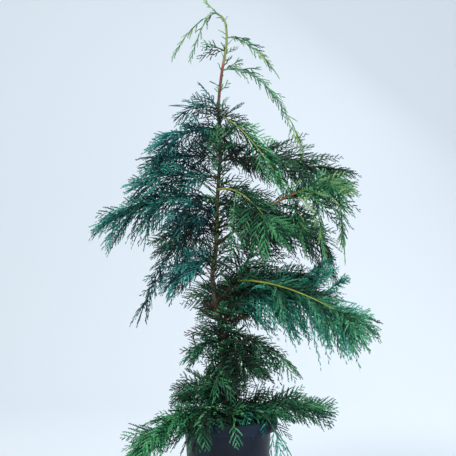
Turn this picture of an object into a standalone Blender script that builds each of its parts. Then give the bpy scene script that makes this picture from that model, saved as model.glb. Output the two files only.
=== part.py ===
"""Leyland cypress about a metre tall, growing in a round nursery pot.

The origin is the centre of the pot's flat underside. +X is to the viewer's right, +Y points
away from the viewer and +Z is up. The table of limbs is in millimetres, the rest in metres.

Every limb is one smooth curve. Its first stretch is a bare bough, a tapering tube, and the
rest is the stem of one mass of foliage. From that stem side shoots and toothed blades grow by
one seeded rule, inside the space that the limb's row gives them, and are fused with it.
"""

import math
import random
from dataclasses import dataclass

import bmesh
import bpy
from mathutils import Matrix, Vector
from mathutils.bvhtree import BVHTree

MM = 0.001
UP = Vector((0, 0, 1))
GAP = 0.3 * MM
WELD = 0.002 * MM
SEED = 7

# Pot, a moulded tub with a deep rolled lip
POT_HEIGHT = 210 * MM
POT_BASE_RADIUS = 67 * MM
POT_BODY_RADIUS = 79 * MM
POT_LIP_RADIUS = 91 * MM
POT_LIP_HEIGHT = 20 * MM
POT_WALL = 1.8 * MM
POT_SEGMENTS = 26

# Compost, a plug that fills the pot to a little below its lip
COMPOST_TOP = 200 * MM
COMPOST_CROWN = 3 * MM
COMPOST_SHOULDER = 0.55

# Trunk, as stations up its centre line: height, shift to the side, shift in depth, diameter
TRUNK_STATIONS = (
    (COMPOST_TOP / MM + COMPOST_CROWN / MM, -5, 0, 20.0),
    (213, -5, 0, 13.5),
    (273, -5, 0, 12.0),
    (352, -9, 0, 10.6),
    (409, -20, -1, 9.8),
    (467, -29, -2, 9.0),
    (528, -22, -1, 8.0),
    (613, -20, 0, 7.2),
    (723, -14, 1, 6.4),
    (790, -18, 1, 5.8),
    (853, -12, 0, 5.4),
    (910, -3, 0, 4.8),
    (946, -4, 0, 4.2),
    (963, -11, 0, 3.6),
    (968, -20, 0, 2.8),
)
TRUNK_RINGS_PER_STATION = 2
TRUNK_SIDES = 9

BOUGH_SIDES = 5
BOUGH_RING_SPACING = 24 * MM
COLLAR = 1.35
LIMB_THINNING = 0.48    # share of its girth that the second limb loses by its tip
BOUGH_THINNING = 0.42   # and a bough by the place where it enters its foliage
TWIG_SIDES = 3
TUBE_PHASE = 0.11       # keeps the edges of stems and blades out of one plane
STEM_RING_SPACING = 26 * MM
STEM_TIP_DIAMETER = 2.0 * MM

BLADE_THICKNESS = 1.7 * MM
BLADE_FINGERS = 5
RIB_ZIGZAG = 1.2 * MM
ROOT_SINK = 0.8 * MM
BLADE_ASPECT = 0.50
FINGER_ANGLE = math.radians(42)
SHORTEST_SHOOT = 16 * MM
TWIG_SHARE = 0.26
STEM_TIP_BLADE = 46 * MM        # longest blade at the tip of a stem
STEM_TIP_SHARE = 0.34           # and the most of the stem that it may take
SPACE_SPACING = 8 * MM
FIRST_SHOOT = 4 * MM            # from the stem's foot
LONG_SHOOT = 74 * MM
FORKED_SHOOT = 105 * MM
SHOOT_TURNS = (60, 128, 84)     # degrees round the stem from straight up, by turns
TRIES = 6


@dataclass
class Limb:
    """One limb, from the centre line of what carries it to its furthest tip, in millimetres."""
    name: str
    height: float           # where it leaves its carrier, above the underside of the pot
    heading: float          # direction in plan, degrees: 0 is +X, 90 is +Y
    reach: float            # how far its tip lies from the carrier, in plan
    rise: float             # how much it would climb over that reach
    droop: float            # how much its weight then pulls the tip down
    curl: float = 2.0       # how late along the limb the droop sets in
    girth: float = 3.6      # diameter at its foot
    bare: float = 0.0       # share of its length that is bare bough
    side: float = 40        # half-width of its foliage, across the stem
    loft: float = 20        # height of its foliage above the stem
    hang: float = 24        # depth of its foliage below the stem
    shoots: int = 8         # side shoots along the stem
    carrier: str = "trunk"
    tone: str = "mid"       # colour of its foliage
    leaders: tuple = ()     # long shoots of their own: share along, and a Limb's measures


def leader(share, heading, reach, rise, droop, curl=1.6, side=12, shoots=2):
    """A long whippy shoot that leaves its limb a share of the way along."""
    return share, Limb("", 0, heading, reach, rise, droop, curl, girth=2.0,
                       side=side, loft=9, hang=12, shoots=shoots)


SECOND_LIMB = Limb("second_limb", 372, -26, 88, 236, 56, curl=2.5, girth=6.2)

LIMBS = (
    # The nodding tip and the thin shoots round it
    Limb("tip", 966, 150, 36, 42, 2, girth=2.8, side=13, loft=9, hang=9, shoots=2,
         carrier="tip", tone="fresh",
         leaders=(leader(0.06, 186, 86, 8, 92, 1.5, side=11), leader(0.12, 170, 50, 0, 88, 1.7))),
    Limb("upper_sprays", 896, 176, 40, 26, 12, side=24, loft=16, hang=26, shoots=4, tone="mid"),
    Limb("top_arch", 923, 2, 100, 30, 102, 1.6, girth=3.0, side=22, loft=24, hang=16,
         shoots=5, tone="fresh"),
    Limb("right_whip", 860, -4, 154, 42, 195, 2.1, girth=3.6, side=30, loft=22, hang=22,
         shoots=6, tone="fresh"),
    Limb("upper_left", 786, 178, 84, 26, 42, side=55, loft=42, hang=27, shoots=6, tone="blue"),

    # Right side, from the top down
    Limb("second_top", 553, -24, 92, 44, 30, girth=3.2, side=64, loft=36, hang=40, shoots=5,
         carrier="second_limb_tip", tone="mid"),
    Limb("bright_right", 773, -35, 158, 12, 176, 1.4, girth=4.0, bare=0.07, side=49, loft=36,
         hang=35, shoots=6, tone="bright"),
    Limb("dark_arch", 687, 12, 262, 62, 98, girth=5.2, bare=0.18, side=72, loft=48, hang=46,
         shoots=6, tone="dark"),
    Limb("front_right", 632, -55, 190, 26, 130, 1.8, girth=4.6, bare=0.20, side=61, loft=25,
         hang=46, shoots=5, tone="mid", leaders=(leader(0.10, -110, 34, 0, 118, 1.8, side=18),)),
    Limb("rising_right", 528, -31, 268, 176, 78, 2.8, girth=5.4, bare=0.45, side=72, loft=28,
         hang=84, shoots=6, tone="fresh"),
    Limb("middle_right", 560, 8, 226, 74, 116, 2.2, girth=5.0, bare=0.20, side=72, loft=42,
         hang=49, shoots=6, tone="dark"),
    Limb("low_right_front", 462, -35, 262, 20, 104, 1.7, girth=4.4, bare=0.35, side=75, loft=31,
         hang=59, shoots=6, carrier="second_limb", tone="bright"),
    Limb("low_right_back", 444, 20, 200, 58, 50, girth=4.8, bare=0.18, side=70, loft=42,
         hang=32, shoots=6, tone="dark"),
    Limb("low_right_outer", 424, -3, 268, 84, 136, 2.2, girth=5.2, bare=0.39, side=78, loft=62,
         hang=76, shoots=7, tone="teal"),
    Limb("drooping_right", 370, -22, 150, 14, 84, 1.5, girth=4.2, side=64, loft=12,
         hang=46, shoots=5, tone="mid"),
    Limb("inner_right", 344, -48, 78, 16, 74, 1.7, girth=4.0, side=52, loft=40, hang=40,
         shoots=5, tone="dark"),
    Limb("bottom_right", 224, -8, 198, 34, 42, 2.4, girth=5.0, bare=0.13, side=70, loft=48,
         hang=24, shoots=7, tone="mid"),
    Limb("over_rim_right", 221, -38, 130, 22, 96, 5.0, girth=3.6, side=49, loft=10,
         hang=35, shoots=4, tone="teal"),
    Limb("over_rim_front", 219, -80, 116, 20, 60, 5.0, girth=3.2, side=49, loft=10,
         hang=19, shoots=4, tone="bright"),

    # Left side, from the top down
    Limb("left_one", 746, 193, 138, 20, 66, 1.7, girth=4.0, side=58, loft=31,
         hang=30, shoots=5, tone="blue"),
    Limb("left_two", 693, 172, 148, 42, 62, 1.8, girth=4.4, bare=0.12, side=64, loft=34,
         hang=32, shoots=5, tone="dark"),
    Limb("left_three", 655, 190, 174, 42, 70, 1.8, girth=4.6, bare=0.16, side=70, loft=34,
         hang=35, shoots=6, tone="mid"),
    Limb("left_main", 615, 181, 224, 48, 112, girth=5.6, bare=0.20, side=70, loft=36,
         hang=46, shoots=6, tone="bright", leaders=(leader(0.34, 200, 26, 0, 92, 1.7),)),
    Limb("left_inner_high", 590, 216, 118, 34, 66, 1.8, girth=4.2, side=58, loft=36, hang=34,
         shoots=5, tone="dark"),
    Limb("left_hanging", 553, 196, 150, 62, 234, 2.2, girth=5.4, bare=0.10, side=61, loft=31,
         hang=35, shoots=7, tone="dark"),
    Limb("left_low", 497, 186, 92, 26, 76, 1.8, girth=4.4, side=61, loft=31, hang=32,
         shoots=6, tone="blue"),
    Limb("left_inner", 352, 188, 76, 14, 52, 1.8, girth=4.0, side=52, loft=36, hang=35,
         shoots=6, tone="mid"),
    Limb("left_bottom", 258, 174, 92, 32, 44, girth=4.4, side=61, loft=34, hang=24, shoots=6,
         tone="mid"),
    Limb("bottom_left", 222, 205, 206, 48, 150, 2.3, girth=5.2, bare=0.18, side=64, loft=28,
         hang=32, shoots=7, tone="bright"),
    Limb("over_rim_left", 220, 240, 124, 22, 66, 5.0, girth=3.6, side=64, loft=10,
         hang=19, shoots=5, tone="mid"),
    Limb("front_low", 318, 258, 74, 6, 66, 1.7, girth=3.6, side=55, loft=22, hang=35,
         shoots=5, tone="mid"),

    # Far side, out of the viewer's sight
    Limb("back_upper", 734, 84, 126, 30, 56, girth=4.2, bare=0.10, side=64, loft=34, hang=32,
         shoots=5, tone="dark"),
    Limb("back_right", 604, 52, 190, 44, 84, girth=5.0, bare=0.16, side=72, loft=36, hang=43,
         shoots=5, tone="mid"),
    Limb("back_left", 566, 122, 184, 40, 92, girth=5.0, bare=0.16, side=72, loft=36, hang=43,
         shoots=5, tone="dark"),
    Limb("back_low", 432, 82, 178, 44, 80, girth=4.8, bare=0.14, side=75, loft=39, hang=46,
         shoots=5, tone="mid"),
    Limb("back_bottom", 232, 92, 168, 34, 60, 2.6, girth=4.6, bare=0.14, side=75, loft=39,
         hang=27, shoots=5, tone="dark"),
)

# Finishes: base colour, roughness
FINISHES = {
    "pot": ((0.018, 0.024, 0.036), 0.42),
    "compost": ((0.035, 0.024, 0.018), 0.95),
    "bark": ((0.110, 0.062, 0.036), 0.85),
    "mid": ((0.030, 0.105, 0.048), 0.60),
    "dark": ((0.012, 0.042, 0.028), 0.65),
    "blue": ((0.028, 0.090, 0.066), 0.60),
    "teal": ((0.050, 0.200, 0.125), 0.55),
    "bright": ((0.055, 0.205, 0.055), 0.55),
    "fresh": ((0.130, 0.240, 0.085), 0.55),
}


def clear_scene():
    for item in list(bpy.data.objects):
        bpy.data.objects.remove(item, do_unlink=True)


def finish(name):
    """The material of that finish, made once."""
    if name in bpy.data.materials:
        return bpy.data.materials[name]
    colour, roughness = FINISHES[name]
    material = bpy.data.materials.new(name)
    material.use_nodes = True
    shader = material.node_tree.nodes["Principled BSDF"]
    shader.inputs["Base Color"].default_value = (*colour, 1)
    shader.inputs["Roughness"].default_value = roughness
    shader.inputs["Metallic"].default_value = 0
    return material


def solid(name, mesh_data, finish_name, collection=None):
    """Turn a bmesh into a named object with its finish."""
    bmesh.ops.recalc_face_normals(mesh_data, faces=mesh_data.faces[:])
    mesh = bpy.data.meshes.new(name)
    mesh_data.to_mesh(mesh)
    mesh_data.free()
    item = bpy.data.objects.new(name, mesh)
    (collection or bpy.context.scene.collection).objects.link(item)
    mesh.materials.append(finish(finish_name))
    return item


def turned(profile, segments):
    """Spin a closed profile of (radius, height) points round the Z axis."""
    shape = bmesh.new()
    rings = []
    for radius, height in profile:
        if radius == 0:
            rings.append([shape.verts.new((0, 0, height))])
            continue
        ring = []
        for k in range(segments):
            angle = 2 * math.pi * k / segments
            ring.append(shape.verts.new((radius * math.cos(angle), radius * math.sin(angle), height)))
        rings.append(ring)
    for lower, upper in zip(rings, rings[1:]):
        for k in range(segments):
            after = (k + 1) % segments
            corners = [lower[k % len(lower)], lower[after % len(lower)],
                       upper[after % len(upper)], upper[k % len(upper)]]
            shape.faces.new(list(dict.fromkeys(corners)))
    return shape


def make_pot():
    wall = POT_WALL
    foot = 2.5 * MM
    lip_foot = POT_HEIGHT - POT_LIP_HEIGHT
    profile = (
        (0, 0),
        (POT_BASE_RADIUS - foot, 0),
        (POT_BASE_RADIUS, foot),
        (POT_BODY_RADIUS, lip_foot),
        (POT_LIP_RADIUS - 1.5 * MM, lip_foot),
        (POT_LIP_RADIUS, lip_foot + 1.5 * MM),
        (POT_LIP_RADIUS + 0.6 * MM, POT_HEIGHT - 2 * MM),
        (POT_LIP_RADIUS - 1.5 * MM, POT_HEIGHT),
        (POT_LIP_RADIUS - 4 * MM, POT_HEIGHT),
        (POT_LIP_RADIUS - 5.5 * MM, POT_HEIGHT - 2 * MM),
        (POT_BODY_RADIUS - wall, lip_foot - 2 * MM),
        (POT_BASE_RADIUS - wall - 0.6 * foot, wall + 0.6 * foot),
        (POT_BASE_RADIUS - wall - foot, wall),
        (0, wall),
    )
    item = solid("pot", turned(profile, POT_SEGMENTS), "pot")
    item.data.shade_smooth()
    item.data.set_sharp_from_angle(angle=math.radians(35))
    return item


def make_compost():
    """The plug of compost, a gap clear of the pot all round."""
    clear = GAP / math.cos(math.pi / POT_SEGMENTS) + POT_WALL
    foot = 2.5 * MM
    lip_foot = POT_HEIGHT - POT_LIP_HEIGHT
    lip_inner = POT_LIP_RADIUS - 5.5 * MM - clear + POT_WALL
    neck = POT_BODY_RADIUS - clear - 0.2 * MM
    rim = neck + (lip_inner - neck) * 0.45
    profile = (
        (0, POT_WALL + GAP),
        (POT_BASE_RADIUS - clear - 1.6 * foot, POT_WALL + GAP),
        (POT_BASE_RADIUS - clear - foot, POT_WALL + foot),
        (neck, lip_foot - 2 * MM),
        (rim, COMPOST_TOP - 2 * MM),
        (COMPOST_SHOULDER * rim, COMPOST_TOP + COMPOST_CROWN - GAP),
        (0, COMPOST_TOP + COMPOST_CROWN - GAP),
    )
    item = solid("compost", turned(profile, POT_SEGMENTS), "compost")
    item.data.shade_smooth()
    item.data.set_sharp_from_angle(angle=math.radians(35))
    return item


def curve_through(stations, steps):
    """A smooth Catmull-Rom line through the stations, which are tuples of numbers."""
    ends = [stations[0], *stations, stations[-1]]
    line = []
    for before, start, stop, after in zip(ends, ends[1:], ends[2:], ends[3:]):
        for step in range(steps):
            t = step / steps
            row = []
            for a, b, c, d in zip(before, start, stop, after):
                row.append(b + 0.5 * t * (c - a + t * (2 * a - 5 * b + 4 * c - d
                                                       + t * (3 * (b - c) + d - a))))
            line.append(tuple(row))
    line.append(stations[-1])
    return line


def trunk_line():
    """Centre points and radii of the trunk, from its cut foot to its nodding tip."""
    rows = curve_through(TRUNK_STATIONS, TRUNK_RINGS_PER_STATION)
    points = [Vector((side, depth, height)) * MM for height, side, depth, diameter in rows]
    radii = [0.5 * diameter * MM for height, side, depth, diameter in rows]
    return points, radii


def frame_along(points):
    """A square-on frame at each point of a line, carried along it without twisting."""
    frames = []
    across = None
    for k, point in enumerate(points):
        ahead = (points[min(k + 1, len(points) - 1)] - points[max(k - 1, 0)]).normalized()
        if across is None:
            across = ahead.cross(UP)
            if across.length < 0.1:
                across = ahead.cross(Vector((0, 1, 0)))
        across = (across - ahead * across.dot(ahead)).normalized()
        frames.append((ahead, across, ahead.cross(across)))
    return frames


def tube(points, radii, sides, foot_normal=None):
    """A closed tapering tube. Its foot may be cut square to a given direction."""
    shape = bmesh.new()
    rings = []
    for k, (point, radius, (ahead, across, over)) in enumerate(zip(points, radii, frame_along(points))):
        ring = []
        for j in range(sides):
            angle = 2 * math.pi * (j + TUBE_PHASE) / sides
            spot = point + (across * math.cos(angle) + over * math.sin(angle)) * radius
            if k == 0 and foot_normal is not None:
                spot -= ahead * ((spot - point).dot(foot_normal) / ahead.dot(foot_normal))
            ring.append(shape.verts.new(spot))
        rings.append(ring)
    shape.faces.new(rings[0][::-1])
    shape.faces.new(rings[-1])
    for lower, upper in zip(rings, rings[1:]):
        for j in range(sides):
            shape.faces.new((lower[j], lower[(j + 1) % sides], upper[(j + 1) % sides], upper[j]))
    return shape


def make_trunk():
    points, radii = trunk_line()
    item = solid("trunk", tube(points, radii, TRUNK_SIDES, foot_normal=UP), "bark")
    item.data.shade_smooth()
    item.data.set_sharp_from_angle(angle=math.radians(50))
    return item


def at_height(points, radii, height):
    """Centre and radius of a standing limb at a height."""
    for k in range(len(points) - 1):
        low, high = points[k], points[k + 1]
        if low.z <= height <= high.z:
            share = (height - low.z) / (high.z - low.z)
            return low.lerp(high, share), radii[k] + (radii[k + 1] - radii[k]) * share
    return points[-1].copy(), radii[-1]


def limb_line(limb, start, samples=90):
    """The limb's curve: it climbs evenly, and its weight bends it down towards its tip."""
    heading = math.radians(limb.heading)
    line = []
    for k in range(samples + 1):
        t = k / samples
        level = limb.reach * t
        height = limb.rise * t - limb.droop * t ** limb.curl
        line.append(start + Vector((level * math.cos(heading), level * math.sin(heading), height)) * MM)
    return line


def along(line, distance):
    """The point a distance along a line."""
    for low, high in zip(line, line[1:]):
        step = (high - low).length
        if distance <= step:
            return low.lerp(high, distance / step)
        distance -= step
    return line[-1].copy()


def line_length(line):
    return sum((high - low).length for low, high in zip(line, line[1:]))


def stretch(line, start, stop, spacing):
    """Evenly spaced points from one distance along a line to another."""
    count = max(2, round((stop - start) / spacing))
    return [along(line, start + (stop - start) * k / count) for k in range(count + 1)]


def tree_of(shape):
    return BVHTree.FromBMesh(shape)


def tree_of_object(item):
    shape = bmesh.new()
    shape.from_mesh(item.data)
    shape.transform(item.matrix_world)
    tree = tree_of(shape)
    shape.free()
    return tree


class Space:
    """The room round a limb's stem that its own foliage keeps to."""

    def __init__(self, limb, line):
        self.limb = limb
        self.line = line

    def reach_at(self, turn):
        """How far the space goes from the stem, in a direction turned from straight up."""
        height = self.limb.loft if math.cos(turn) > 0 else self.limb.hang
        return MM / math.hypot(math.cos(turn) / height, math.sin(turn) / self.limb.side)

    def holds(self, spot):
        nearest = min(self.line, key=lambda point: (point - spot).length_squared)
        offset = spot - nearest
        level = math.hypot(offset.x, offset.y) / (self.limb.side * MM)
        height = offset.z / ((self.limb.loft if offset.z > 0 else self.limb.hang) * MM)
        return math.hypot(level, height) < 1.35


def blade(root, ahead, over, length, swell=0.0):
    """One spray as a toothed blade: fingers leave its rib by turns to the left and the right.

    The rib is a zigzag row of upright edges. Each finger stands on two stretches of it and ends
    in a point, and the last finger carries the rib on to the tip.
    """
    shape = bmesh.new()
    beside = over.cross(ahead).normalized()
    over = ahead.cross(beside).normalized()
    half_width = BLADE_ASPECT * length
    rib = 0.70 * length
    sag = 0.10 * length
    count = BLADE_FINGERS

    def place(forward, sideways, height):
        fall = sag * (math.hypot(forward, sideways) / length) ** 2
        return root + ahead * (forward - ROOT_SINK) + beside * sideways + over * height - UP * fall

    tops, bottoms = [], []
    for k in range(count + 1):
        forward = rib * k / count
        taper = 1 - 0.45 * k / count
        half = 0.5 * BLADE_THICKNESS * taper + swell
        aside = (1 if k % 2 == 0 else -1) * (RIB_ZIGZAG * taper + swell) if k else 0
        tops.append(shape.verts.new(place(forward, aside, half)))
        bottoms.append(shape.verts.new(place(forward, aside, -half)))
    for k in range(1, count):
        hand = 1 if k % 2 else -1
        share = k / count
        out = (half_width * (0.62 + 0.76 * share - 0.95 * share ** 2)) / math.sin(FINGER_ANGLE) + swell
        forward = rib * share + out * math.cos(FINGER_ANGLE)
        point = shape.verts.new(place(forward, hand * out * math.sin(FINGER_ANGLE), 0))
        for low in (k - 1, k):
            shape.faces.new((tops[low], tops[low + 1], point))
            shape.faces.new((bottoms[low], bottoms[low + 1], point))
        shape.faces.new((tops[k - 1], bottoms[k - 1], point))
        shape.faces.new((tops[k + 1], bottoms[k + 1], point))
    shape.faces.new((tops[0], tops[1], bottoms[1], bottoms[0]))
    point = shape.verts.new(place(length + swell, 0, 0))
    shape.faces.new((tops[-2], tops[-1], point))
    shape.faces.new((bottoms[-2], bottoms[-1], point))
    shape.faces.new((tops[-2], bottoms[-2], point))
    shape.faces.new((tops[-1], bottoms[-1], point))
    bmesh.ops.recalc_face_normals(shape, faces=shape.faces[:])
    return shape


class Mass:
    """One mass of foliage, grown piece by piece and then fused."""

    def __init__(self, limb, standing, seed):
        self.limb = limb
        self.standing = standing
        self.chance = random.Random(seed)
        self.collection = bpy.data.collections.new("pieces_of_" + limb.name)
        bpy.context.scene.collection.children.link(self.collection)
        self.pieces = []
        self.blades = []
        self.stems = []

    def is_clear(self, shape):
        """Whether a swollen copy of a piece misses every other solid and this mass's own blades."""
        tree = tree_of(shape)
        others = [other for owner, other in self.standing if owner != self.limb.name]
        return not any(tree.overlap(other) for other in others + self.blades)

    def add(self, shape):
        piece = solid("piece", shape, self.limb.tone, self.collection)
        self.pieces.append(piece)

    def add_blade(self, root, ahead, over, length, space):
        """Add a blade where it keeps to the space and touches no limb."""
        if length < SHORTEST_SHOOT:
            return False
        probe = blade(root, ahead, over, length, swell=GAP)
        fits = all(space.holds(vertex.co) for vertex in probe.verts) and self.is_clear(probe)
        probe.free()
        if fits:
            leaf = blade(root, ahead, over, length)
            self.blades.append(tree_of(leaf))
            self.add(leaf)
        return fits

    def add_shoot(self, root, ahead, over, length, space):
        """A side shoot: a short one is a blade, a long one a twig and a blade, or two."""
        if length < LONG_SHOOT:
            return self.add_blade(root, ahead, over, length, space)
        twig_end = root + ahead * (TWIG_SHARE * length)
        middle = root.lerp(twig_end, 0.55)
        points = [root, middle, twig_end]
        probe = tube(points, [1.6 * MM, 1.4 * MM, 1.2 * MM], TWIG_SIDES)
        fits = self.is_clear(probe)
        probe.free()
        if not fits:
            return False
        inner = root.lerp(twig_end, 0.90)
        if not self.add_blade(inner, ahead, over, length - (inner - root).length, space):
            return False
        self.add(tube(points, [1.3 * MM, 1.1 * MM, 0.9 * MM], TWIG_SIDES))
        if length > FORKED_SHOOT:
            hand = self.chance.choice((-1, 1))
            sideways = (ahead + over.cross(ahead).normalized() * hand * 1.1).normalized()
            self.add_blade(middle, sideways, over, 0.46 * length, space)
        return True

    def grow_stem(self, line, start, limb, foot_diameter, foot_normal=None):
        """The stem, up to where the blade at its tip takes over."""
        stop = line_length(line)
        stem_stop = stop - min(STEM_TIP_SHARE * (stop - start), STEM_TIP_BLADE)
        points = stretch(line, start, stem_stop, STEM_RING_SPACING)
        radii = []
        for k in range(len(points)):
            share = k / (len(points) - 1)
            radii.append(0.5 * (foot_diameter + (STEM_TIP_DIAMETER - foot_diameter) * share))
        stem = tube(points, radii, TWIG_SIDES, foot_normal)
        self.standing.append((self.limb.name, tree_of(stem)))
        self.add(stem)
        space = Space(limb, stretch(line, start, stop, SPACE_SPACING))
        self.stems.append((points, line[-1], space, limb.shoots))

    def grow_shoots(self):
        """A blade at each stem's tip, and side shoots by turns along it."""
        for points, tip, space, shoots in self.stems:
            root = points[-2].lerp(points[-1], 0.85)
            self.add_blade(root, (tip - root).normalized(), self.tilted(tip - root, 0.2),
                           (tip - root).length, space)
            stem_length = line_length(points)
            for k in range(shoots):
                share = (k + 0.6) / shoots
                distance = FIRST_SHOOT + (stem_length - 1.5 * FIRST_SHOOT) * share
                for attempt in range(TRIES):
                    if self.try_shoot(points, distance, share, k, attempt, space):
                        break

    def tilted(self, ahead, turn):
        """The upper side of a spray, turned about the direction that it grows in."""
        ahead = ahead.normalized()
        over = (UP - ahead * UP.dot(ahead)).normalized()
        return Matrix.Rotation(turn, 3, ahead) @ over

    def try_shoot(self, points, distance, share, index, attempt, space):
        root = along(points, distance)
        ahead = (along(points, distance + 2 * MM) - along(points, distance - 2 * MM)).normalized()
        hand = 1 if index % 2 else -1
        turn = SHOOT_TURNS[index % len(SHOOT_TURNS)] + self.chance.uniform(-16, 16) + 24 * attempt
        turn = hand * math.radians(turn)
        opening = math.radians(56 - 20 * share + self.chance.uniform(-6, 6))
        outward = Matrix.Rotation(turn, 3, ahead) @ self.tilted(ahead, 0)
        direction = (ahead * math.cos(opening) + outward * math.sin(opening)).normalized()
        fullness = 0.80 + 0.34 * math.sin(math.pi * min(1.0, 0.15 + share))
        length = space.reach_at(turn) / math.sin(opening) * fullness * self.chance.uniform(0.92, 1.12)
        length *= 0.92 ** attempt
        flat = ahead.cross(direction).normalized() * hand
        over = Matrix.Rotation(math.radians(self.chance.uniform(-28, 28)), 3, direction) @ flat
        return self.add_shoot(root, direction, over, length, space)

    def united(self, body, solver):
        """The union of the body with every other piece, as a bmesh, or None if it isn't closed."""
        union = body.modifiers.new("Union", "BOOLEAN")
        union.operation = "UNION"
        union.operand_type = "COLLECTION"
        union.collection = self.collection
        union.solver = solver
        seen = body.evaluated_get(bpy.context.evaluated_depsgraph_get())
        shape = bmesh.new()
        shape.from_mesh(seen.to_mesh())
        seen.to_mesh_clear()
        body.modifiers.clear()
        keep_one_body(shape)
        if all(edge.is_manifold for edge in shape.edges):
            return shape
        shape.free()
        return None

    def fuse(self):
        """Join the pieces by one Boolean union. A mass that won't close loses its last leaf."""
        body = self.pieces.pop(0)
        body.name = "foliage_" + self.limb.name
        self.collection.objects.unlink(body)
        bpy.context.scene.collection.objects.link(body)
        shape = self.united(body, "EXACT") or self.united(body, "MANIFOLD")
        while shape is None:
            bpy.data.objects.remove(self.pieces.pop(), do_unlink=True)
            shape = self.united(body, "EXACT") or self.united(body, "MANIFOLD")
        shape.to_mesh(body.data)
        shape.free()
        for piece in self.pieces:
            bpy.data.objects.remove(piece, do_unlink=True)
        bpy.data.collections.remove(self.collection)
        return body


def keep_one_body(shape):
    """Weld and triangulate, then drop scraps and the shells of sealed hollows."""
    bmesh.ops.triangulate(shape, faces=shape.faces[:])
    bmesh.ops.remove_doubles(shape, verts=shape.verts[:], dist=WELD)
    bmesh.ops.dissolve_degenerate(shape, edges=shape.edges[:], dist=WELD)
    wires = [edge for edge in shape.edges if not edge.link_faces]
    bmesh.ops.delete(shape, geom=wires, context="EDGES")
    left = set(shape.verts)
    bodies = []
    while left:
        body = {left.pop()}
        edge_of_body = set(body)
        while edge_of_body:
            edge_of_body = {edge.other_vert(vertex) for vertex in edge_of_body
                            for edge in vertex.link_edges} - body
            body |= edge_of_body
        left -= body
        bodies.append(body)
    largest = max(bodies, key=len)
    scraps = [vertex for body in bodies if body is not largest for vertex in body]
    bmesh.ops.delete(shape, geom=scraps, context="VERTS")


def clear_foot(line, distance, radius, carrier_tree, normal=None):
    """How far along its line a limb's foot stands clear of what carries it."""
    while True:
        points = [along(line, distance - GAP), along(line, distance + 6 * MM)]
        probe = tube(points, [radius + 0.1 * GAP, radius], BOUGH_SIDES, normal)
        touching = bool(tree_of(probe).overlap(carrier_tree))
        probe.free()
        if not touching:
            return distance
        distance += 0.1 * MM


def tapering(limb, points, thinning):
    """Radii along a bough, with a collar where it leaves its carrier."""
    radii = []
    for k in range(len(points)):
        share = k / (len(points) - 1)
        radii.append(0.5 * limb.girth * MM * (1 - thinning * share))
    radii[0] *= COLLAR
    return radii


def facing(limb):
    heading = math.radians(limb.heading)
    return Vector((math.cos(heading), math.sin(heading), 0))


def carried(limb, carriers):
    """The limb's curve from its carrier, the distance at which its foot is clear, and the cut there."""
    points, radii, tree = carriers[limb.carrier]
    if limb.carrier.endswith("tip"):
        line = limb_line(limb, points[-1])
        return line, clear_foot(line, GAP, 0.5 * limb.girth * MM, tree), None
    start, radius = at_height(points, radii, limb.height * MM)
    line = limb_line(limb, start)
    collar = 0.5 * limb.girth * COLLAR * MM
    return line, clear_foot(line, radius, collar, tree, facing(limb)), facing(limb)


def make_limb(name, limb, line, foot, stop, thinning, cut):
    """A bare limb as a solid, with its points, its radii and its tree."""
    points = stretch(line, foot, stop, BOUGH_RING_SPACING)
    radii = tapering(limb, points, thinning)
    item = solid(name, tube(points, radii, BOUGH_SIDES, cut), "bark")
    return points, radii, tree_of_object(item)


def main():
    clear_scene()
    pot = make_pot()
    compost = make_compost()
    trunk = make_trunk()
    trunk_tree = tree_of_object(trunk)
    standing = [("pot", tree_of_object(pot)), ("compost", tree_of_object(compost)), ("trunk", trunk_tree)]
    carriers = {"trunk": (*trunk_line(), trunk_tree)}
    carriers["tip"] = carriers["trunk"]

    # The second limb stands up beside the trunk and carries limbs of its own
    line, foot, cut = carried(SECOND_LIMB, carriers)
    second = make_limb(SECOND_LIMB.name, SECOND_LIMB, line, foot, line_length(line), LIMB_THINNING, cut)
    carriers["second_limb"] = carriers["second_limb_tip"] = second
    standing.append((SECOND_LIMB.name, second[-1]))

    # Boughs and stems first, so that no shoot takes their place
    masses = []
    for index, limb in enumerate(LIMBS):
        line, foot, cut = carried(limb, carriers)
        stem_girth = limb.girth * MM
        if limb.bare:
            name = "bough_" + limb.name
            bough_end = limb.bare * line_length(line)
            points, radii, tree = make_limb(name, limb, line, foot, bough_end, BOUGH_THINNING, cut)
            standing.append((name, tree))
            stem_girth = 2 * radii[-1]
            foot = clear_foot(line, bough_end + GAP, radii[-1], tree)
            cut = None
        mass = Mass(limb, standing, SEED + index)
        mass.grow_stem(line, foot, limb, stem_girth, cut)
        for share, shoot in limb.leaders:
            start = along(line, foot + share * (line_length(line) - foot))
            mass.grow_stem(limb_line(shoot, start), 0, shoot, shoot.girth * MM)
        masses.append(mass)

    for mass in masses:
        mass.grow_shoots()
        body = mass.fuse()
        standing.append((mass.limb.name, tree_of_object(body)))


main()
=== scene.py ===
# Leyland cypress in a nursery pot: bark, scale-leaf sprays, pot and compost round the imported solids
import random
from math import copysign, cos, exp, hypot, pi, radians, sin, sqrt

import bpy
import numpy as np
from mathutils import Matrix, Vector, noise


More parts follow.
